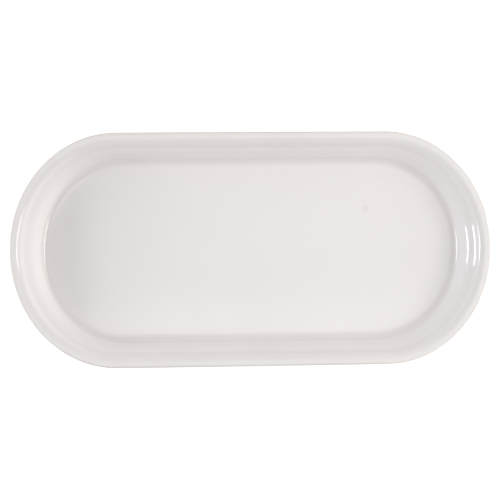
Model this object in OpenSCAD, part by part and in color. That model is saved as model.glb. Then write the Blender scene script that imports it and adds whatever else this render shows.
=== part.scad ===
// Oblong glazed plate for serving asparagus: one pressed clay body under two coats of
// glaze, with a stepped ring border inside the wall and a bare foot ring below.
// Millimetres. +X runs along the plate, +Z is up, and the foot stands on z = 0.

/* [Overall] */
// Length over the rim
plate_length = 305; // [250:1:380]
// Width over the rim
plate_width = 148; // [120:1:185]
// Height from the table to the top of the rim
plate_height = 22; // [18:0.5:28]

/* [Ends] */
// Length of each rounded end, from where the straight sides stop to the rim's tip
end_length = 67; // [55:0.1:85]
// How far the end walls lean out beyond the side walls, for each unit of height
end_lean_share = 0.45; // [0.1:0.05:0.6]

/* [Rim] */
// Plan width of the plain rim, from its edge to the first ring
rim_band = 6.1; // [5:0.1:8]
// Slope of the rim, down towards the well
rim_slope = 2; // [0:1:12]
// Height of the rim's upright outer edge
rim_edge = 3.2; // [3:0.1:5]
// Rounding of the rim's outer edge, above and below
rim_round = 1.2; // [0.8:0.1:1.6]

/* [Ring border] */
// Plan width of the stepped ring border, at the sides
border_run = 10.4; // [8:0.1:14]
// Rounding of the rings' crests and hollows, as far as they have room for it
ring_round = 12; // [4:0.5:16]

/* [Well] */
// Thickness of the floor, with its glaze
floor_thickness = 4.9; // [4:0.1:7]
// Height of the foot of the border above the floor
cove_rise = 0.8; // [0.5:0.1:2]
// Plan width of the cove before rounding, at the sides
cove_run = 3; // [2:0.1:5]
// Radius of the cove into the floor
cove_radius = 14; // [6:0.5:18]

/* [Foot] */
// Height of the floor's underside above the table
foot_height = 3.3; // [2.5:0.1:5]
// Plan distance from the rim's edge to the foot ring, at the sides
foot_inset = 16.5; // [13:0.5:20]
// Width of the foot ring where it meets the floor
foot_width = 5.6; // [4.5:0.1:8]
// How far each face of the foot ring draws in towards the table
foot_taper = 0.7; // [0.3:0.1:1.2]
// Rounding between the foot ring and the wall or floor
foot_round = 2; // [1:0.1:3]

/* [Glaze] */
// Thickness of the glaze
glaze_thickness = 0.35; // [0.2:0.05:0.6]
// Height of the bare band wiped round the foot ring
bare_band = 1.2; // [0.8:0.1:2]

/* [Hidden] */
$fa = 2;
$fs = 0.5;

// Largest turn of each straight step that draws a rounded bend
bend_step = 9;
// How far cuts run past what they cut
overrun = 2;
// Most of a straight stretch that the roundings at its two ends may use up
bend_reach_share = 0.98;

// Corners of the ring border, from the rim band down to the cove: shares of its run and drop.
// Steep risers alternate with gently sloping rings.
border_run_shares = [0, 0.264, 0.575, 0.762, 0.827, 1];
border_drop_shares = [0, 0.308, 0.517, 0.736, 0.798, 1];
// Rounding of each of these corners, tighter where the border meets the rim and the cove
border_round_shares = [0.42, 1, 1, 1, 1, 0.42];

// Heights
floor_top = foot_height + floor_thickness;
border_foot = floor_top + cove_rise;
rim_corner = plate_height + rim_round * (tan(rim_slope) + 1 / cos(rim_slope) - 1);
border_top = rim_corner - rim_band * tan(rim_slope);
border_drop = border_top - border_foot;
rim_underside = plate_height - rim_edge;

// Plan distances inwards from the rim's edge, at the sides
half_width = plate_width / 2;
floor_inset = rim_band + border_run + cove_run;
foot_inner_inset = foot_inset + foot_width;

// Each end is half of a round plate, squeezed to the end's length and leaning with height
end_squeeze = end_length / half_width;
straight_half = plate_length / 2 - end_length;
// Height at which a leaning end is at its full length, on the rounding of the rim
rim_round_centre = plate_height - rim_round;
lean_reach = sqrt(end_squeeze * end_squeeze + end_lean_share * end_lean_share) - end_squeeze;
lean_datum = rim_round_centre + rim_round * lean_reach / end_lean_share;
// Straight run of a half plate before it is squeezed, past the middle at every height
straight_run = (straight_half + end_lean_share * plate_height + overrun) / end_squeeze;

// Section lines, as [distance inwards from the rim's edge, height, rounding]

// Draw-in of a foot face at a height above the table
function foot_draw(z) = foot_taper * (1 - z / foot_height);

// Face: from the bare band outside the foot ring, over the rim and down to the well's middle
face_line = [
    [foot_inset + foot_draw(bare_band), bare_band, 0],
    [foot_inset, foot_height, foot_round],
    [0, rim_underside, rim_round],
    [0, rim_corner, rim_round],
    for (i = [0 : len(border_run_shares) - 1])
        [
            rim_band + border_run * border_run_shares[i],
            border_top - border_drop * border_drop_shares[i],
            ring_round * border_round_shares[i]
        ],
    [floor_inset, floor_top, cove_radius],
    [half_width, floor_top, 0]
];

// Base: from the bare band inside the foot ring to the middle of the underside
base_line = [
    [foot_inner_inset - foot_draw(bare_band), bare_band, 0],
    [foot_inner_inset, foot_height, foot_round],
    [half_width, foot_height, 0]
];

// The bare foot ring, which runs below the table here and is ground flat after the sweep
foot_line = [
    [foot_inset + foot_draw(-overrun), -overrun],
    [foot_inner_inset - foot_draw(-overrun), -overrun]
];

// Geometry of section lines

function place(p) = [p.x, p.y];
function backwards(points) = [for (i = [len(points) - 1 : -1 : 0]) points[i]];
function stretch(line, i) = norm(place(line[i + 1]) - place(line[i]));
function left_normal(line, i) =
    let (along = (place(line[i + 1]) - place(line[i])) / stretch(line, i))
    [-along.y, along.x];

// Normals of the stretches before and after point i; at an end of the line both are the same
function normals(line, i) =
    let (last = len(line) - 1)
    [left_normal(line, max(i - 1, 0)), left_normal(line, min(i, last - 1))];

// Turn at a corner, positive to the left
function turn_at(line, i) =
    let (n = normals(line, i))
    atan2(cross(n[0], n[1]), n[0] * n[1]);

// Step from a corner to where lines set a unit to the left of both its stretches meet
function mitre(line, i) =
    let (n = normals(line, i))
    (n[0] + n[1]) / (1 + n[0] * n[1]);

// The line moved to its left by a gap, with roundings that keep it parallel
function beside(line, gap) = [
    for (i = [0 : len(line) - 1])
        let (moved = place(line[i]) + gap * mitre(line, i),
             radius = line[i].z == 0 ? 0 : line[i].z - gap * sign(turn_at(line, i)))
        [moved.x, moved.y, radius]
];

// Length of a stretch that the full rounding of corner i takes up
function reach(line, i) =
    line[i].z == 0 ? 0 : line[i].z * tan(abs(turn_at(line, i)) / 2);

// Share of its full radius that corner i has room for between its neighbours
function room_share(line, i) =
    min(
        1,
        bend_reach_share * stretch(line, i - 1) / (reach(line, i - 1) + reach(line, i)),
        bend_reach_share * stretch(line, i) / (reach(line, i) + reach(line, i + 1))
    );

// Points of the arc that rounds corner i
function bend(line, i) =
    let (turn = turn_at(line, i),
         radius = line[i].z * room_share(line, i),
         centre = place(line[i]) + sign(turn) * radius * mitre(line, i),
         first = -sign(turn) * normals(line, i)[0],
         start = atan2(first.y, first.x),
         steps = max(2, ceil(abs(turn) / bend_step)))
    [
        for (k = [0 : steps])
            let (angle = start + turn * k / steps)
            centre + radius * [cos(angle), sin(angle)]
    ];

// All points of a line, with its corners rounded
function rounded(line) = [
    for (i = [0 : len(line) - 1]) each line[i].z == 0 ? [place(line[i])] : bend(line, i)
];

// Glaze fills the space between a face and the clay behind it
face_points = rounded(face_line);
face_clay_points = rounded(beside(face_line, -glaze_thickness));
base_points = rounded(base_line);
base_clay_points = rounded(beside(base_line, glaze_thickness));

// Sweep round the rim outline

// A section of [inset, height] points, drawn outwards from the plate's middle line
function section(points) = [for (p = points) [half_width - p.x, p.y]];
function mirrored(points) = [for (p = backwards(points)) [-p.x, p.y]];

// A half of the plate before it is squeezed: a round end and a straight run behind it
module half_plate(points) {
    rotate([0, 0, -90])
        rotate_extrude(angle = 180)
            polygon(section(points));
    rotate([90, 0, -90])
        linear_extrude(height = straight_run)
            polygon(concat(section(points), mirrored(section(points))));
}

// The half with its end squeezed to length and leaning, cut square at the middle and the table
module leaning_half(points) {
    intersection() {
        multmatrix([
            [end_squeeze, 0, end_lean_share, straight_half - end_lean_share * lean_datum],
            [0, 1, 0, 0],
            [0, 0, 1, 0],
            [0, 0, 0, 1]
        ])
            half_plate(points);
        translate([0, -plate_width, 0])
            cube([plate_length, 2 * plate_width, 2 * plate_height]);
    }
}

// Both halves of a body or coat whose section starts and ends on the plate's middle line
module swept_plate(points) {
    for (end = [0, 1])
        mirror([end, 0, 0])
            leaning_half(points);
}

// Fired clay: floor, wall, rings, rim and foot ring, pressed in one piece
module clay_body() {
    color("#e9e1d2")
        swept_plate(concat(
            backwards(face_clay_points),
            [face_points[0]],
            foot_line,
            [base_points[0]],
            base_clay_points
        ));
}

// Glaze over the well, the rings, the rim and the outside, down to the wiped foot
module face_glaze() {
    color("#f4f2ed")
        swept_plate(concat(backwards(face_points), face_clay_points));
}

// Glaze over the base, inside the foot ring
module base_glaze() {
    color("#f1efe9")
        swept_plate(concat(backwards(base_clay_points), base_points));
}

clay_body();
face_glaze();
base_glaze();
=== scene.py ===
"""Oblong white glazed plate: its glaze, its bare clay foot, the camera and the studio.

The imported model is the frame. Lengths are in metres, +X runs along the plate, +Z is up and the
foot stands on z = 0.
"""

import logging
import math
from dataclasses import dataclass
from enum import Enum

import bmesh
import bpy
import numpy as np
from mathutils import Matrix, Vector


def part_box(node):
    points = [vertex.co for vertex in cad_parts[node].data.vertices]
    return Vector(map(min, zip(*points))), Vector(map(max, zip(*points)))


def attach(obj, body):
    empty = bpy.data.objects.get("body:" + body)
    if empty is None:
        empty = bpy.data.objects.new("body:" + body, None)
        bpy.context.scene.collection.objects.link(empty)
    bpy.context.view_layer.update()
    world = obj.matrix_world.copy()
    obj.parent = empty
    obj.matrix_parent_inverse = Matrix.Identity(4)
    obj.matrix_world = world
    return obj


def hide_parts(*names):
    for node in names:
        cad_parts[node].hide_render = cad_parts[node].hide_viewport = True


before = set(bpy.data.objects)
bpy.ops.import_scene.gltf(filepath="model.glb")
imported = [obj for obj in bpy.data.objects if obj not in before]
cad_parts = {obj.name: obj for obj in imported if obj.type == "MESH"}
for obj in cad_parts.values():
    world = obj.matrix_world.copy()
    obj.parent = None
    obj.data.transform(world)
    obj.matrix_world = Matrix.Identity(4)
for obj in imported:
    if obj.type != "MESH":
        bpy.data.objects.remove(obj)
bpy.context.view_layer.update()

MM = 0.001
IMAGE_SIZE_PX = 500
ROOT_BODY = "root"
CLAY_NODE = "clay_body"
# Vertex attribute that says where the glaze pools, and its value on an even coat
POOLING = "glaze_pooling"
EVEN_COAT = 0.5
# A loop less wide than this is drawn as the plate's middle line
LEAST_REACH = 1e-6
WHITE = (1.0, 1.0, 1.0)
# Tint of the lamps at the left end
COOL = (0.95, 0.958, 1.0)

Colour = tuple[float, float, float, float]
Place = tuple[float, float, float]
Feed = bpy.types.NodeSocket | float | Colour

log = logging.getLogger("plate")


class Coat(Enum):
    """The two coats of glaze, named as their nodes in the frame."""

    FACE = "face_glaze"
    BASE = "base_glaze"


class Slot(Enum):
    """The record's material slots."""

    CLAY = "fired_clay"
    GLAZE = "white_glaze"


class Ramp(Enum):
    """How a value goes from one level to another."""

    SMOOTH = "SMOOTHSTEP"
    EVEN = "LINEAR"


@dataclass(frozen=True)
class Corner:
    """A corner of a section line.

    Attributes:
        inset: distance inwards from the rim's edge, at the straight sides
        height: height above the table
        radius: rounding of the corner
    """

    inset: float
    height: float
    radius: float = 0.0

    @property
    def place(self) -> np.ndarray:
        """The corner as a point of the section."""
        return np.array((self.inset, self.height))


class SectionLine:
    """A line of rounded corners in the plate's section, which can be set off parallel to itself."""

    bend_step: float = math.radians(5)
    least_bend_steps: int = 3
    longest_step: float = 1.6 * MM
    bend_reach_share: float = 0.98

    def __init__(self, corners: list[Corner]) -> None:
        """Keeps the corners, in order along the line.

        Args:
            corners: at least two corners; the first and last have no rounding
        """
        self.corners = corners

    def stretch(self, i: int) -> float:
        """Length of the straight stretch after corner i."""
        return float(np.linalg.norm(self.corners[i + 1].place - self.corners[i].place))

    def normal(self, i: int) -> np.ndarray:
        """Unit normal to the left of the stretch after corner i."""
        along = (self.corners[i + 1].place - self.corners[i].place) / self.stretch(i)
        return np.array((-along[1], along[0]))

    def normals(self, i: int) -> tuple[np.ndarray, np.ndarray]:
        """Normals of the stretches before and after corner i, the same one twice at an end."""
        last = len(self.corners) - 1
        return self.normal(max(i - 1, 0)), self.normal(min(i, last - 1))

    def turn(self, i: int) -> float:
        """Turn of the line at corner i, positive to the left."""
        before, after = self.normals(i)
        return math.atan2(before[0] * after[1] - before[1] * after[0], float(before @ after))

    def mitre(self, i: int) -> np.ndarray:
        """Step from corner i to where lines set a unit to the left of its stretches meet."""
        before, after = self.normals(i)
        return (before + after) / (1 + float(before @ after))

    def beside(self, gap: float) -> "SectionLine":
        """Sets the line off to its left, with roundings that keep it parallel.

        Args:
            gap: distance to the left, negative to the right
        Returns:
            The parallel line.
        """
        moved = []
        for i, corner in enumerate(self.corners):
            place = corner.place + gap * self.mitre(i)
            radius = corner.radius - gap * math.copysign(1, self.turn(i)) if corner.radius else 0.0
            moved.append(Corner(float(place[0]), float(place[1]), radius))
        return SectionLine(moved)

    def reach(self, i: int) -> float:
        """Length of a stretch that the full rounding of corner i takes up."""
        return self.corners[i].radius * math.tan(abs(self.turn(i)) / 2)

    def room_share(self, i: int) -> float:
        """Share of its full radius that corner i has room for."""
        own = self.reach(i)
        before = self.bend_reach_share * self.stretch(i - 1) / (self.reach(i - 1) + own)
        after = self.bend_reach_share * self.stretch(i) / (own + self.reach(i + 1))
        return min(1.0, before, after)

    def bend(self, i: int) -> list[np.ndarray]:
        """Points of the arc that rounds corner i."""
        turn = self.turn(i)
        side = math.copysign(1, turn)
        radius = self.corners[i].radius * self.room_share(i)
        centre = self.corners[i].place + side * radius * self.mitre(i)
        first = -side * self.normals(i)[0]
        start = math.atan2(first[1], first[0])
        steps = max(self.least_bend_steps, math.ceil(abs(turn) / self.bend_step))
        angles = [start + turn * k / steps for k in range(steps + 1)]
        return [centre + radius * np.array((math.cos(a), math.sin(a))) for a in angles]

    def points(self) -> np.ndarray:
        """Works out the rounded line, with long stretches cut into even steps.

        Returns:
            An array of [inset, height] rows.
        """
        rough: list[np.ndarray] = []
        for i, corner in enumerate(self.corners):
            rough.extend(self.bend(i) if corner.radius else [corner.place])
        fine = [rough[0]]
        for a, b in zip(rough, rough[1:]):
            steps = max(1, math.ceil(float(np.linalg.norm(b - a)) / self.longest_step))
            fine.extend(a + (b - a) * k / steps for k in range(1, steps + 1))
        return np.array(fine)


@dataclass(frozen=True)
class PlateForm:
    """The plate's shape: its section and the oblong outline that the section follows.

    The overall sizes come from the frame. The others repeat the part's own sizes.
    """

    length: float
    width: float
    height: float
    end_length: float = 67.0 * MM
    end_lean: float = 0.45
    rim_band: float = 6.1 * MM
    rim_slope: float = math.radians(2)
    rim_edge: float = 3.2 * MM
    rim_round: float = 1.2 * MM
    border_run: float = 10.4 * MM
    ring_round: float = 12.0 * MM
    floor_thickness: float = 4.9 * MM
    cove_rise: float = 0.8 * MM
    cove_run: float = 3.0 * MM
    cove_radius: float = 14.0 * MM
    foot_height: float = 3.3 * MM
    foot_inset: float = 16.5 * MM
    foot_width: float = 5.6 * MM
    foot_taper: float = 0.7 * MM
    foot_round: float = 2.0 * MM
    glaze: float = 0.35 * MM
    bare_band: float = 1.2 * MM
    border_run_shares: tuple[float, ...] = (0, 0.264, 0.575, 0.762, 0.827, 1)
    border_drop_shares: tuple[float, ...] = (0, 0.308, 0.517, 0.736, 0.798, 1)
    border_round_shares: tuple[float, ...] = (0.42, 1, 1, 1, 1, 0.42)
    end_steps: int = 84
    side_steps: int = 56

    @classmethod
    def from_frame(cls) -> "PlateForm":
        """Takes the overall sizes from the face glaze, which covers the rim, and the foot."""
        low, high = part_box(Coat.FACE.value)
        foot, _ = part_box(CLAY_NODE)
        return cls(length=high[0] - low[0], width=high[1] - low[1], height=high[2] - foot[2])

    @property
    def half_width(self) -> float:
        """Distance from the middle line to the rim's edge at the sides."""
        return self.width / 2

    @property
    def floor_top(self) -> float:
        """Height of the well's floor."""
        return self.foot_height + self.floor_thickness

    @property
    def end_squeeze(self) -> float:
        """Length of an end as a share of a half circle's."""
        return self.end_length / self.half_width

    @property
    def lean_datum(self) -> float:
        """Height at which a leaning end is at its full length."""
        slant = math.hypot(self.end_squeeze, self.end_lean) - self.end_squeeze
        return self.height - self.rim_round + self.rim_round * slant / self.end_lean

    def foot_draw(self, height: float) -> float:
        """How far a face of the foot ring has drawn in at a height."""
        return self.foot_taper * (1 - height / self.foot_height)

    def face_line(self) -> SectionLine:
        """Section of the face, from the wiped foot over the rim to the well's middle."""
        slope = math.tan(self.rim_slope)
        rim_corner = self.height + self.rim_round * (slope + 1 / math.cos(self.rim_slope) - 1)
        border_top = rim_corner - self.rim_band * slope
        drop = border_top - self.floor_top - self.cove_rise
        shares = zip(self.border_run_shares, self.border_drop_shares, self.border_round_shares)
        rings = [
            Corner(
                self.rim_band + self.border_run * run,
                border_top - drop * fall,
                self.ring_round * rounding,
            )
            for run, fall, rounding in shares
        ]
        floor_inset = self.rim_band + self.border_run + self.cove_run
        return SectionLine([
            Corner(self.foot_inset + self.foot_draw(self.bare_band), self.bare_band),
            Corner(self.foot_inset, self.foot_height, self.foot_round),
            Corner(0.0, self.height - self.rim_edge, self.rim_round),
            Corner(0.0, rim_corner, self.rim_round),
            *rings,
            Corner(floor_inset, self.floor_top, self.cove_radius),
            Corner(self.half_width, self.floor_top),
        ])

    def base_line(self) -> SectionLine:
        """Section of the base, from the wiped foot to the middle of the underside."""
        inner = self.foot_inset + self.foot_width
        return SectionLine([
            Corner(inner - self.foot_draw(self.bare_band), self.bare_band),
            Corner(inner, self.foot_height, self.foot_round),
            Corner(self.half_width, self.foot_height),
        ])

    def coat_lines(self, coat: Coat) -> tuple[np.ndarray, np.ndarray, int]:
        """Works out both sides of a coat of glaze.

        Args:
            coat: which coat
        Returns:
            Points of its face and of its back, from the wiped foot to the middle line, and 1 where
            the face looks to the left along them or -1 where it looks to the right.
        """
        side = 1 if coat is Coat.FACE else -1
        line = self.face_line() if coat is Coat.FACE else self.base_line()
        return line.points(), line.beside(-side * self.glaze).points(), side

    def loop(self, inset: float, height: float) -> np.ndarray:
        """Carries one section point round the plate.

        Args:
            inset: distance inwards from the rim's edge at the sides
            height: height above the table
        Returns:
            Points round the plate, anticlockwise from the right end's start at the near side.
        """
        reach = self.half_width - inset
        straight = self.length / 2 - self.end_length + self.end_lean * (height - self.lean_datum)
        turn = np.linspace(-math.pi / 2, math.pi / 2, self.end_steps + 1)
        run = np.linspace(1, -1, self.side_steps + 1)[1:-1]
        end_x = straight + self.end_squeeze * reach * np.cos(turn)
        end_y = reach * np.sin(turn)
        side_y = np.full(len(run), reach)
        x = np.concatenate((end_x, straight * run, -end_x, -straight * run))
        y = np.concatenate((end_y, side_y, -end_y, -side_y))
        return np.column_stack((x, y, np.full(len(x), height)))

    def spine(self) -> list[int]:
        """Index of the middle-line vertex under each point of a loop, for a loop of no width."""
        right, left = 0, self.side_steps
        there = list(range(1, self.side_steps))
        ends = self.end_steps + 1
        return [right] * ends + there + [left] * ends + there[::-1]

    def spine_points(self, height: float) -> np.ndarray:
        """Vertices along the well's middle line, from the right end to the left."""
        line = self.loop(self.half_width, height)
        return line[self.end_steps : self.end_steps + self.side_steps + 1]


class SweptMesh:
    """Gathers the vertices and faces of sections carried round the plate."""

    def __init__(self, form: PlateForm) -> None:
        """Starts an empty mesh.

        Args:
            form: the plate that the sections belong to
        """
        self.form = form
        self.vertices: list[np.ndarray] = []
        self.values: list[float] = []
        self.faces: list[tuple[int, ...]] = []
        self.count = 0

    def add_loop(self, inset: float, height: float, value: float) -> list[int]:
        """Adds one loop of vertices, or the middle line where the loop has no width.

        Args:
            inset: distance inwards from the rim's edge
            height: height above the table
            value: pooling of the glaze there
        Returns:
            The vertex under each station of the loop.
        """
        if self.form.half_width - inset > LEAST_REACH:
            points = self.form.loop(inset, height)
            order = list(range(len(points)))
        else:
            points = self.form.spine_points(height)
            order = self.form.spine()
        loop = [self.count + i for i in order]
        self.vertices.append(points)
        self.values.extend([value] * len(points))
        self.count += len(points)
        return loop

    def bridge(self, near: list[int], far: list[int]) -> None:
        """Joins two loops with faces, which are triangles where the middle line ends."""
        for i, here in enumerate(near):
            nxt = (i + 1) % len(near)
            ring = (here, near[nxt], far[nxt], far[i])
            face = tuple(dict.fromkeys(ring))
            if len(face) > 2:
                self.faces.append(face)

    def carry(self, points: np.ndarray, values: np.ndarray) -> None:
        """Carries a section round the plate, closed where it starts and ends on the middle line.

        Args:
            points: [inset, height] rows along the section
            values: pooling of the glaze at each of them
        """
        loops = [self.add_loop(p[0], p[1], v) for p, v in zip(points, values)]
        for near, far in zip(loops, loops[1:]):
            self.bridge(near, far)

    def make(self, name: str) -> bpy.types.Object:
        """Makes the smooth-shaded object and links it to the scene.

        Args:
            name: name of the object and its mesh
        Returns:
            The new object.
        """
        mesh = bpy.data.meshes.new(name)
        mesh.from_pydata(np.vstack(self.vertices).tolist(), [], self.faces)
        layer = mesh.attributes.new(POOLING, "FLOAT", "POINT")
        layer.data.foreach_set("value", self.values)
        work = bmesh.new()
        work.from_mesh(mesh)
        bmesh.ops.recalc_face_normals(work, faces=work.faces)
        work.to_mesh(mesh)
        work.free()
        mesh.polygons.foreach_set("use_smooth", [True] * len(mesh.polygons))
        mesh.update()
        obj = bpy.data.objects.new(name, mesh)
        bpy.context.collection.objects.link(obj)
        return obj


def pooling_along(points: np.ndarray) -> np.ndarray:
    """Works out where glaze pools along a section: in its hollows, away from its crests.

    Args:
        points: [inset, height] rows along the section, with the glazed side on the left
    Returns:
        A value for each point, 0.5 on flats, towards 0 on crests and towards 1 in hollows.
    """
    spread = 0.7 * MM
    full_bend = 1 / (2.5 * MM)
    steps = np.diff(points, axis=0)
    lengths = np.linalg.norm(steps, axis=1)
    heading = np.unwrap(np.arctan2(steps[:, 1], steps[:, 0]))
    along = np.concatenate(((0.0,), np.cumsum(lengths)))
    turns = np.concatenate(((0.0,), np.diff(heading), (0.0,)))
    away = (along[:, None] - along[None, :]) / spread
    kernel = np.exp(-0.5 * away**2) / (spread * math.sqrt(2 * math.pi))
    bend = kernel @ turns
    return EVEN_COAT * (1 + np.tanh(bend / full_bend))


class NodeTree:
    """A short way to add and join shader nodes.

    A Mix node has sockets for numbers, vectors and colours under the same names, so those for
    colours are found by their place.
    """

    mix_first: int = 6
    mix_second: int = 7
    mix_result: int = 2

    def __init__(self, tree: bpy.types.NodeTree) -> None:
        """Keeps the tree.

        Args:
            tree: a material's or a group's node tree
        """
        self.tree = tree

    def add(self, kind: str, **settings: object) -> bpy.types.Node:
        """Adds a node.

        Args:
            kind: node type after "ShaderNode", or a full name
            settings: values for the node's own properties, by name
        Returns:
            The node.
        """
        name = kind if kind.startswith("Node") else "ShaderNode" + kind
        node = self.tree.nodes.new(name)
        for key, value in settings.items():
            setattr(node, key, value)
        return node

    def join(self, source: bpy.types.NodeSocket, target: bpy.types.NodeSocket) -> None:
        """Links an output to an input."""
        self.tree.links.new(source, target)

    def feed(self, value: Feed, socket: bpy.types.NodeSocket) -> None:
        """Links an output to an input, or sets the input to a number or colour."""
        if isinstance(value, bpy.types.NodeSocket):
            self.join(value, socket)
        else:
            socket.default_value = value

    def math(self, operation: str, *values: Feed) -> bpy.types.NodeSocket:
        """Adds a Math node.

        Args:
            operation: what it does
            values: an output or a number for each of its inputs
        Returns:
            Its result.
        """
        node = self.add("Math", operation=operation)
        for socket, value in zip(node.inputs, values):
            self.feed(value, socket)
        return node.outputs[0]

    def mix(self, share: Feed, first: Feed, second: Feed) -> bpy.types.NodeSocket:
        """Adds a colour mix.

        Args:
            share: how much of the second colour, an output or a number
            first: a colour or an output
            second: a colour or an output
        Returns:
            The mixed colour.
        """
        node = self.add("Mix", data_type="RGBA")
        self.feed(share, node.inputs["Factor"])
        self.feed(first, node.inputs[self.mix_first])
        self.feed(second, node.inputs[self.mix_second])
        return node.outputs[self.mix_result]

    def ramp(
        self,
        value: Feed,
        between: tuple[float, float],
        levels: tuple[float, float] = (0.0, 1.0),
        kind: Ramp = Ramp.SMOOTH,
    ) -> bpy.types.NodeSocket:
        """Adds a step of a value from one level to another.

        Args:
            value: an output or a number
            between: the values at which the step starts and ends
            levels: the results there
            kind: how the result goes from one to the other
        Returns:
            The result.
        """
        node = self.add("MapRange", interpolation_type=kind.value)
        self.feed(value, node.inputs["Value"])
        node.inputs["From Min"].default_value, node.inputs["From Max"].default_value = between
        node.inputs["To Min"].default_value, node.inputs["To Max"].default_value = levels
        return node.outputs["Result"]

    def relief(self, height: bpy.types.NodeSocket, distance: float) -> bpy.types.NodeSocket:
        """Adds a bump.

        Args:
            height: height of the surface, from 0 to about 1
            distance: length that a height of 1 stands for
        Returns:
            The bumped normal.
        """
        bump = self.add("Bump")
        bump.inputs["Strength"].default_value = 1.0
        bump.inputs["Distance"].default_value = distance
        self.join(height, bump.inputs["Height"])
        return bump.outputs["Normal"]


def new_material(name: str) -> tuple[bpy.types.Material, NodeTree, bpy.types.NodeInputs]:
    """Makes a material.

    Args:
        name: name of the material
    Returns:
        The material, its nodes and the inputs of its shader.
    """
    material = bpy.data.materials.new(name)
    material.use_nodes = True
    shader = material.node_tree.nodes["Principled BSDF"]
    return material, NodeTree(material.node_tree), shader.inputs


class EffectGroup:
    """A shader node group that several finishes share."""

    name: str = "effect"
    inputs: tuple[tuple[str, str, float | Colour], ...] = ()
    outputs: tuple[tuple[str, str], ...] = ()

    def __init__(self) -> None:
        """Builds the group with its named sockets."""
        self.group = bpy.data.node_groups.new(self.name, "ShaderNodeTree")
        for label, kind, value in self.inputs:
            socket = self.group.interface.new_socket(label, in_out="INPUT", socket_type=kind)
            socket.default_value = value
        for label, kind in self.outputs:
            self.group.interface.new_socket(label, in_out="OUTPUT", socket_type=kind)
        nodes = NodeTree(self.group)
        self.fill(nodes, nodes.add("NodeGroupInput").outputs, nodes.add("NodeGroupOutput").inputs)

    def fill(self, nodes: NodeTree, given: bpy.types.NodeOutputs, results: bpy.types.NodeInputs) -> None:
        """Adds the group's own nodes.

        Args:
            nodes: the group's tree
            given: outputs of the group's input node
            results: inputs of the group's output node
        """
        raise NotImplementedError

    def place(self, nodes: NodeTree, **values: Feed) -> bpy.types.NodeSocket:
        """Places the group in a material.

        Args:
            nodes: the material's tree
            values: value or output for each input, named with underscores
        Returns:
            The group's result.
        """
        node = nodes.add("Group", node_tree=self.group)
        for label, value in values.items():
            nodes.feed(value, node.inputs[label.replace("_", " ").title()])
        return node.outputs[0]


class SurfaceWaver(EffectGroup):
    """Height of a fired surface that isn't quite even: a broad waver and a fine texture."""

    name = "surface_waver"
    inputs = (
        ("Broad Scale", "NodeSocketFloat", 60.0),
        ("Broad Height", "NodeSocketFloat", 1.0),
        ("Fine Scale", "NodeSocketFloat", 900.0),
        ("Fine Height", "NodeSocketFloat", 0.1),
    )
    outputs = (("Height", "NodeSocketFloat"),)
    details: tuple[tuple[str, float], ...] = (("Broad", 1.0), ("Fine", 3.0))

    def fill(self, nodes: NodeTree, given: bpy.types.NodeOutputs, results: bpy.types.NodeInputs) -> None:
        """Adds two noises of different scale.

        Args:
            nodes: the group's tree
            given: outputs of the group's input node
            results: inputs of the group's output node
        """
        place = nodes.add("TexCoord").outputs["Object"]
        heights = []
        for size, detail in self.details:
            noise = nodes.add("TexNoise")
            noise.inputs["Detail"].default_value = detail
            nodes.join(place, noise.inputs["Vector"])
            nodes.join(given[size + " Scale"], noise.inputs["Scale"])
            heights.append(nodes.math("MULTIPLY", noise.outputs["Fac"], given[size + " Height"]))
        nodes.join(nodes.math("ADD", *heights), results["Height"])


class FireSpecks(EffectGroup):
    """Sparse specks that firing leaves: a mask of dots, each of its own size."""

    name = "fire_specks"
    inputs = (
        ("Scale", "NodeSocketFloat", 60.0),
        ("Share", "NodeSocketFloat", 0.1),
        ("Size", "NodeSocketFloat", 0.03),
    )
    outputs = (("Mask", "NodeSocketFloat"),)
    least_size_share: float = 0.4
    size_spread_share: float = 0.8
    soft_edge: tuple[float, float] = (0.5, 1.0)

    def fill(self, nodes: NodeTree, given: bpy.types.NodeOutputs, results: bpy.types.NodeInputs) -> None:
        """Adds a cell pattern in which only a share of the cells holds a dot.

        Args:
            nodes: the group's tree
            given: outputs of the group's input node
            results: inputs of the group's output node
        """
        place = nodes.add("TexCoord").outputs["Object"]
        cells = nodes.add("TexVoronoi")
        nodes.join(place, cells.inputs["Vector"])
        nodes.join(given["Scale"], cells.inputs["Scale"])
        chance = nodes.add("SeparateColor")
        nodes.join(cells.outputs["Color"], chance.inputs["Color"])
        chosen = nodes.math("LESS_THAN", chance.outputs["Red"], given["Share"])
        share = nodes.math(
            "MULTIPLY_ADD", chance.outputs["Green"], self.size_spread_share, self.least_size_share
        )
        radius = nodes.math("MULTIPLY", share, given["Size"])
        nearness = nodes.math("DIVIDE", cells.outputs["Distance"], radius)
        dot = nodes.math("SUBTRACT", 1.0, nodes.ramp(nearness, self.soft_edge))
        nodes.join(nodes.math("MULTIPLY", dot, chosen), results["Mask"])


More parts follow.
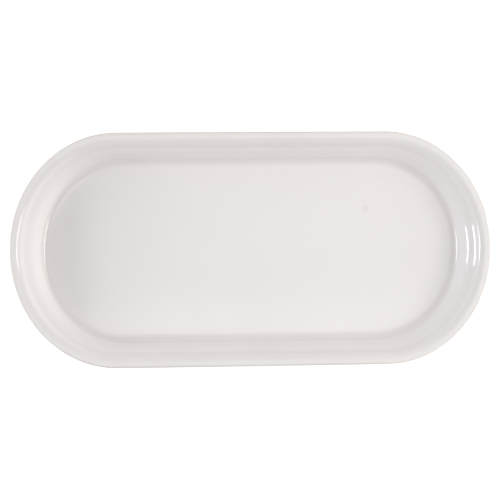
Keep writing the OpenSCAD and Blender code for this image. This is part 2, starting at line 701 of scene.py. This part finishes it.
class FiredTone(EffectGroup):
    """Colour of a fired surface that drifts a little between two tones."""

    name = "fired_tone"
    inputs = (
        ("Scale", "NodeSocketFloat", 12.0),
        ("First Tone", "NodeSocketColor", (0.8, 0.8, 0.8, 1.0)),
        ("Second Tone", "NodeSocketColor", (0.8, 0.8, 0.8, 1.0)),
    )
    outputs = (("Tone", "NodeSocketColor"),)
    detail: float = 2.0
    drift_range: tuple[float, float] = (0.3, 0.7)

    def fill(self, nodes: NodeTree, given: bpy.types.NodeOutputs, results: bpy.types.NodeInputs) -> None:
        """Adds a soft noise that mixes the two tones.

        Args:
            nodes: the group's tree
            given: outputs of the group's input node
            results: inputs of the group's output node
        """
        noise = nodes.add("TexNoise")
        noise.inputs["Detail"].default_value = self.detail
        nodes.join(nodes.add("TexCoord").outputs["Object"], noise.inputs["Vector"])
        nodes.join(given["Scale"], noise.inputs["Scale"])
        drift = nodes.ramp(noise.outputs["Fac"], self.drift_range)
        nodes.join(nodes.mix(drift, given["First Tone"], given["Second Tone"]), results["Tone"])


@dataclass(frozen=True)
class Effects:
    """The node groups that the finishes share."""

    waver: SurfaceWaver
    specks: FireSpecks
    tone: FiredTone


@dataclass(frozen=True)
class GlazeFinish:
    """Glossy white glaze, thin and warm on crests and pooled in hollows.

    Attributes:
        name: name of the material
        first_tone: one of the two tones between which the glaze drifts
        second_tone: the other one
        tone_scale: scale of the drift
        thin_tone: tone on crests
        thin_range: pooling at which the thin tone starts and is full
        pooled_tone: tone in hollows
        pooled_range: pooling at which the pooled tone starts and is full
        mark_tone: tone of the one soft mark in the well
        mark_place: middle of the mark
        mark_radius: its radius
        mark_core_share: share of the radius within which it is at full strength
        speck_tone: tone of the specks
        speck_scale: scale of the cells that may hold a speck
        speck_share: share of the cells that hold one
        speck_size: size of a speck in its cell
        waver_scales: scales of the surface's broad and fine waver
        fine_waver: height of the fine waver, where the broad one has 1
        waver_height: length that a waver of 1 stands for
        waver_range: waver at which the glaze is smoothest and most worn
        gloss_range: roughness there
        refraction: index of refraction
    """

    name: str
    first_tone: Colour = (0.877, 0.837, 0.816, 1.0)
    second_tone: Colour = (0.857, 0.819, 0.798, 1.0)
    tone_scale: float = 9.0
    thin_tone: Colour = (0.84, 0.79, 0.75, 1.0)
    thin_range: tuple[float, float] = (0.30, 0.05)
    pooled_tone: Colour = (0.820, 0.776, 0.756, 1.0)
    pooled_range: tuple[float, float] = (0.52, 0.68)
    mark_tone: Colour = (0.835, 0.788, 0.770, 1.0)
    mark_place: Place = (0.0738, 0.0254, 0.0082)
    mark_radius: float = 3.2 * MM
    mark_core_share: float = 0.3
    speck_tone: Colour = (0.30, 0.25, 0.20, 1.0)
    speck_scale: float = 28.0
    speck_share: float = 0.05
    speck_size: float = 0.012
    waver_scales: tuple[float, float] = (70.0, 420.0)
    fine_waver: float = 0.10
    waver_height: float = 0.03 * MM
    waver_range: tuple[float, float] = (0.35, 0.75)
    gloss_range: tuple[float, float] = (0.07, 0.11)
    refraction: float = 1.5

    def material(self, effects: Effects) -> bpy.types.Material:
        """Makes the material.

        Args:
            effects: the shared node groups
        Returns:
            The glaze material.
        """
        material, nodes, shader = new_material(self.name)
        shader["IOR"].default_value = self.refraction
        broad_scale, fine_scale = self.waver_scales
        waver = effects.waver.place(
            nodes,
            broad_scale=broad_scale,
            broad_height=1.0,
            fine_scale=fine_scale,
            fine_height=self.fine_waver,
        )
        gloss = nodes.ramp(waver, self.waver_range, self.gloss_range, Ramp.EVEN)
        nodes.join(self.colour(nodes, effects), shader["Base Color"])
        nodes.join(gloss, shader["Roughness"])
        nodes.join(nodes.relief(waver, self.waver_height), shader["Normal"])
        return material

    def colour(self, nodes: NodeTree, effects: Effects) -> bpy.types.NodeSocket:
        """Adds the glaze's colour: its drift, hollows, crests, mark and specks in turn.

        Args:
            nodes: the material's nodes
            effects: the shared node groups
        Returns:
            The colour.
        """
        pooling = nodes.add("Attribute", attribute_name=POOLING).outputs["Fac"]
        tone = effects.tone.place(
            nodes, scale=self.tone_scale, first_tone=self.first_tone, second_tone=self.second_tone
        )
        pooled = nodes.mix(nodes.ramp(pooling, self.pooled_range), tone, self.pooled_tone)
        thin = nodes.mix(nodes.ramp(pooling, self.thin_range), pooled, self.thin_tone)
        marked = nodes.mix(self.mark(nodes), thin, self.mark_tone)
        specks = effects.specks.place(
            nodes, scale=self.speck_scale, share=self.speck_share, size=self.speck_size
        )
        return nodes.mix(specks, marked, self.speck_tone)

    def mark(self, nodes: NodeTree) -> bpy.types.NodeSocket:
        """Adds a mask of the one soft mark that firing left in the well."""
        away = nodes.add("VectorMath", operation="DISTANCE")
        nodes.join(nodes.add("TexCoord").outputs["Object"], away.inputs[0])
        away.inputs[1].default_value = self.mark_place
        core = self.mark_core_share * self.mark_radius
        return nodes.ramp(away.outputs["Value"], (self.mark_radius, core))


@dataclass(frozen=True)
class ClayFinish:
    """Bare fired clay, matt and finely grained, with a few dark specks.

    Attributes:
        name: name of the material
        first_tone: one of the two tones between which the clay drifts
        second_tone: the other one
        tone_scale: scale of the drift
        speck_tone: tone of the specks
        speck_scale: scale of the cells that may hold a speck
        speck_share: share of the cells that hold one
        speck_size: size of a speck in its cell
        grain_scales: scales of the broad and fine grain
        grain_heights: heights of the broad and fine grain
        grain_height: length that a grain of 1 stands for
        roughness: roughness all over
    """

    name: str = "bare_fired_clay"
    first_tone: Colour = (0.74, 0.68, 0.58, 1.0)
    second_tone: Colour = (0.68, 0.61, 0.50, 1.0)
    tone_scale: float = 45.0
    speck_tone: Colour = (0.28, 0.21, 0.15, 1.0)
    speck_scale: float = 420.0
    speck_share: float = 0.12
    speck_size: float = 0.22
    grain_scales: tuple[float, float] = (500.0, 2600.0)
    grain_heights: tuple[float, float] = (0.6, 0.5)
    grain_height: float = 0.12 * MM
    roughness: float = 0.85

    def material(self, effects: Effects) -> bpy.types.Material:
        """Makes the material.

        Args:
            effects: the shared node groups
        Returns:
            The clay material.
        """
        material, nodes, shader = new_material(self.name)
        shader["Roughness"].default_value = self.roughness
        tone = effects.tone.place(
            nodes, scale=self.tone_scale, first_tone=self.first_tone, second_tone=self.second_tone
        )
        specks = effects.specks.place(
            nodes, scale=self.speck_scale, share=self.speck_share, size=self.speck_size
        )
        broad_scale, fine_scale = self.grain_scales
        broad_height, fine_height = self.grain_heights
        grain = effects.waver.place(
            nodes,
            broad_scale=broad_scale,
            broad_height=broad_height,
            fine_scale=fine_scale,
            fine_height=fine_height,
        )
        nodes.join(nodes.mix(specks, tone, self.speck_tone), shader["Base Color"])
        nodes.join(nodes.relief(grain, self.grain_height), shader["Normal"])
        return material


@dataclass(frozen=True)
class GlazeCoat:
    """One coat of glaze: a closed skin between the glazed face and the clay behind it.

    Attributes:
        coat: which coat
        form: shape of the plate
        finish: finish of the glaze
        roll: length over which the coat's edge rounds over beside the bare foot
        roll_steps: steps that draw the rolled edge
    """

    coat: Coat
    form: PlateForm
    finish: GlazeFinish
    roll: float = 0.45 * MM
    roll_steps: int = 5

    def section(self) -> tuple[np.ndarray, np.ndarray]:
        """Works out the coat's section, from the middle line along its back and home on its face.

        Returns:
            Its [inset, height] points and the pooling of the glaze at each.
        """
        face, back, side = self.form.coat_lines(self.coat)
        edge = self.rolled_edge(face, back[0])
        front = np.vstack((edge, face[1:]))
        pooling = EVEN_COAT + side * (pooling_along(front) - EVEN_COAT)
        points = np.vstack((back[:0:-1], front))
        return points, np.concatenate((np.full(len(back) - 1, EVEN_COAT), pooling))

    def rolled_edge(self, face: np.ndarray, root: np.ndarray) -> np.ndarray:
        """Rounds the coat's edge over to the clay, as glaze draws up beside a wiped foot.

        Args:
            face: points of the coat's face, from its edge
            root: where the edge meets the clay
        Returns:
            Points from the root to the face.
        """
        along = (face[1] - face[0]) / np.linalg.norm(face[1] - face[0])
        steps = [math.pi / 2 * k / self.roll_steps for k in range(self.roll_steps + 1)]
        return np.array([
            root + (face[0] - root) * math.sin(a) + along * self.roll * (1 - math.cos(a)) for a in steps
        ])

    def build(self, effects: Effects) -> bpy.types.Object:
        """Builds and dresses the coat in place of its node.

        Args:
            effects: the shared node groups
        Returns:
            The coat's object.
        """
        points, pooling = self.section()
        sweep = SweptMesh(self.form)
        sweep.carry(points, pooling)
        obj = sweep.make(self.coat.name.lower() + "_glaze_coat")
        obj.data.materials.append(self.finish.material(effects))
        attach(obj, ROOT_BODY)
        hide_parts(self.coat.value)
        return obj


@dataclass(frozen=True)
class ClayBody:
    """The fired clay, which shows only where the foot was wiped bare.

    Attributes:
        form: shape of the plate
        finish: finish of the clay
        ledge_round: rounding where the bare band meets the glaze
        ground_round: rounding of the foot ring's edges on the table
    """

    form: PlateForm
    finish: ClayFinish
    ledge_round: float = 0.15 * MM
    ground_round: float = 0.6 * MM

    def section(self) -> np.ndarray:
        """Works out the clay's section, from the floor's middle over the rim and foot to the base's.

        Returns:
            Its [inset, height] points.
        """
        face, face_back, _ = self.form.coat_lines(Coat.FACE)
        base, base_back, _ = self.form.coat_lines(Coat.BASE)
        outer = self.form.foot_inset + self.form.foot_taper
        inner = self.form.foot_inset + self.form.foot_width - self.form.foot_taper
        foot = SectionLine([
            Corner(*face_back[0]),
            Corner(*face[0], self.ledge_round),
            Corner(outer, 0.0, self.ground_round),
            Corner(inner, 0.0, self.ground_round),
            Corner(*base[0], self.ledge_round),
            Corner(*base_back[0]),
        ])
        return np.vstack((face_back[:0:-1], foot.points(), base_back[1:]))

    def build(self, effects: Effects) -> bpy.types.Object:
        """Builds and dresses the clay in place of its node.

        Args:
            effects: the shared node groups
        Returns:
            The clay's object.
        """
        points = self.section()
        sweep = SweptMesh(self.form)
        sweep.carry(points, np.full(len(points), EVEN_COAT))
        obj = sweep.make("fired_clay_body")
        obj.data.materials.append(self.finish.material(effects))
        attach(obj, ROOT_BODY)
        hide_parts(CLAY_NODE)
        return obj


@dataclass(frozen=True)
class Softbox:
    """A soft lamp, square-cornered or oval, that points at the plate.

    Attributes:
        name: name of the lamp
        place: where it stands
        size: its width and height
        watts: its power
        target: what it points at
        oval: whether it is oval rather than square-cornered
        mirrored: whether the glaze mirrors it
        tint: colour of its light
    """

    name: str
    place: Place
    size: tuple[float, float]
    watts: float
    target: Place = (0.0, 0.0, 0.01)
    oval: bool = False
    mirrored: bool = True
    tint: tuple[float, float, float] = WHITE

    def build(self) -> bpy.types.Object:
        """Makes the lamp."""
        lamp = bpy.data.lights.new(self.name, "AREA")
        lamp.shape = "ELLIPSE" if self.oval else "RECTANGLE"
        lamp.size, lamp.size_y = self.size
        lamp.energy = self.watts
        lamp.color = self.tint
        obj = bpy.data.objects.new(self.name, lamp)
        obj.visible_glossy = self.mirrored
        bpy.context.collection.objects.link(obj)
        aim = Vector(self.target) - Vector(self.place)
        obj.matrix_world = (
            Matrix.Translation(self.place) @ aim.to_track_quat("-Z", "Y").to_matrix().to_4x4()
        )
        return obj


@dataclass(frozen=True)
class Viewpoint:
    """The camera above the plate.

    Attributes:
        place: where it stands
        target: what it points at
        roll: its turn about the line of sight
        focal_px: its focal length, in pixels of the square image
    """

    place: Place = (-0.1089, -0.0280, 1.2100)
    target: Place = (-0.0017, -0.0007, 0.0203)
    roll: float = math.radians(-0.717)
    focal_px: float = 1892.1

    def build(self) -> bpy.types.Object:
        """Makes the camera and gives it to the scene."""
        data = bpy.data.cameras.new("camera")
        data.sensor_fit = "HORIZONTAL"
        data.angle = 2 * math.atan(IMAGE_SIZE_PX / 2 / self.focal_px)
        obj = bpy.data.objects.new("camera", data)
        bpy.context.collection.objects.link(obj)
        ahead = (Vector(self.target) - Vector(self.place)).normalized()
        right = ahead.cross(Vector((0, 1, 0))).normalized()
        up = right.cross(ahead)
        turn = Matrix((right, up, -ahead)).transposed() @ Matrix.Rotation(self.roll, 3, "Z")
        obj.matrix_world = Matrix.Translation(self.place) @ turn.to_4x4()
        bpy.context.scene.camera = obj
        return obj


@dataclass(frozen=True)
class Studio:
    """A white floor, white surroundings and soft lamps.

    Attributes:
        floor_reach: half the floor's width
        floor_colour: colour of the floor
        floor_roughness: roughness of the floor
        floor_glow: strength of the floor's own white near the plate, which is 1 far from it
        shadow_reach: distance from the plate's middle at which that strength starts to rise
        lamps: the lamps; those overhead differ in height so that the glaze mirrors each of them
    """

    floor_reach: float = 4.0
    floor_colour: Colour = (0.88, 0.88, 0.88, 1.0)
    floor_roughness: float = 0.9
    floor_glow: float = 0.5
    shadow_reach: float = 0.4
    lamps: tuple[Softbox, ...] = (
        Softbox(
            name="overhead_softbox",
            place=(0.1625, 0.03, 1.6),
            size=(0.525, 0.34),
            watts=0.63,
            target=(0.1625, 0.03, 0.0),
        ),
        Softbox(
            name="overhead_right_softbox",
            place=(0.2175, 0.02, 1.61),
            size=(0.415, 0.32),
            watts=0.14,
            target=(0.2175, 0.02, 0.0),
        ),
        Softbox(
            name="overhead_near_strip",
            place=(0.1625, -0.09, 1.62),
            size=(0.525, 0.10),
            watts=0.2,
            target=(0.1625, -0.09, 0.0),
        ),
        Softbox(
            name="right_key",
            place=(0.64, -0.03, 1.0),
            size=(0.34, 0.16),
            watts=2.7,
            target=(-0.14, 0.0, 0.015),
        ),
        Softbox(
            name="left_strip",
            place=(-0.852, 0.01, 0.495),
            size=(0.37, 0.09),
            watts=2.15,
            target=(0.138, 0.0, 0.016),
            tint=COOL,
        ),
        Softbox(
            name="right_panel",
            place=(1.21, 0.0, 0.47),
            size=(3.6, 0.80),
            watts=13.8,
            oval=True,
            mirrored=False,
        ),
        Softbox(
            name="right_upper_panel",
            place=(1.10, 0.0, 0.70),
            size=(3.0, 0.36),
            watts=10.4,
            oval=True,
            mirrored=False,
        ),
        Softbox(
            name="left_panel",
            place=(-1.27, 0.05, 0.28),
            size=(3.0, 0.40),
            watts=18.3,
            oval=True,
            mirrored=False,
            tint=COOL,
        ),
        Softbox(
            name="far_panel",
            place=(0.0, 0.53, 1.19),
            size=(2.0, 0.4),
            watts=0.8,
            oval=True,
            mirrored=False,
        ),
    )

    def build(self) -> None:
        """Makes the floor, the world and the lamps."""
        self.build_floor()
        self.build_world()
        for lamp in self.lamps:
            lamp.build()
            log.info("lamp %s, %.1f W", lamp.name, lamp.watts)

    def seen_rays(self, nodes: NodeTree) -> bpy.types.NodeSocket:
        """Adds nodes that are 1 for rays that see the surroundings and 0 for the rest."""
        path = nodes.add("LightPath").outputs
        seen = nodes.math("MAXIMUM", path["Is Camera Ray"], path["Is Glossy Ray"])
        return nodes.math("MAXIMUM", seen, path["Is Transmission Ray"])

    def build_floor(self) -> bpy.types.Object:
        """Makes the floor, which takes the plate's shadow and fades to white away from it."""
        reach = self.floor_reach
        mesh = bpy.data.meshes.new("floor")
        corners = [(-reach, -reach, 0), (reach, -reach, 0), (reach, reach, 0), (-reach, reach, 0)]
        mesh.from_pydata(corners, [], [(0, 1, 2, 3)])
        floor = bpy.data.objects.new("floor", mesh)
        bpy.context.collection.objects.link(floor)
        material, nodes, shader = new_material("pale_floor")
        shader["Base Color"].default_value = self.floor_colour
        shader["Roughness"].default_value = self.floor_roughness
        shader["Emission Color"].default_value = (*WHITE, 1.0)
        away = nodes.add("VectorMath", operation="LENGTH")
        nodes.join(nodes.add("TexCoord").outputs["Object"], away.inputs[0])
        fade = (self.shadow_reach, 2 * self.shadow_reach)
        level = nodes.ramp(away.outputs["Value"], fade, (self.floor_glow, 1.0))
        glow = nodes.math("MULTIPLY", self.seen_rays(nodes), level)
        nodes.join(glow, shader["Emission Strength"])
        mesh.materials.append(material)
        return floor

    def build_world(self) -> None:
        """Makes white surroundings that are seen and mirrored, and leave the lighting to the lamps."""
        world = bpy.data.worlds.new("studio")
        world.use_nodes = True
        bpy.context.scene.world = world
        nodes = NodeTree(world.node_tree)
        background = world.node_tree.nodes["Background"]
        background.inputs["Color"].default_value = (*WHITE, 1.0)
        nodes.join(self.seen_rays(nodes), background.inputs["Strength"])


def main() -> None:
    """Builds the plate, the camera and the studio in order."""
    logging.basicConfig(level=logging.INFO, format="%(name)s: %(message)s")
    bpy.context.scene.view_settings.view_transform = "Standard"
    form = PlateForm.from_frame()
    effects = Effects(SurfaceWaver(), FireSpecks(), FiredTone())
    Viewpoint().build()
    Studio().build()
    coats = (
        GlazeCoat(Coat.FACE, form, GlazeFinish("white_face_glaze")),
        GlazeCoat(Coat.BASE, form, GlazeFinish("white_base_glaze", speck_share=0.2)),
    )
    for coat in coats:
        obj = coat.build(effects)
        log.info("%s: %d faces", obj.name, len(obj.data.polygons))
    clay = ClayBody(form, ClayFinish()).build(effects)
    log.info("%s: %d faces", clay.name, len(clay.data.polygons))


if __name__ == "__main__":
    main()
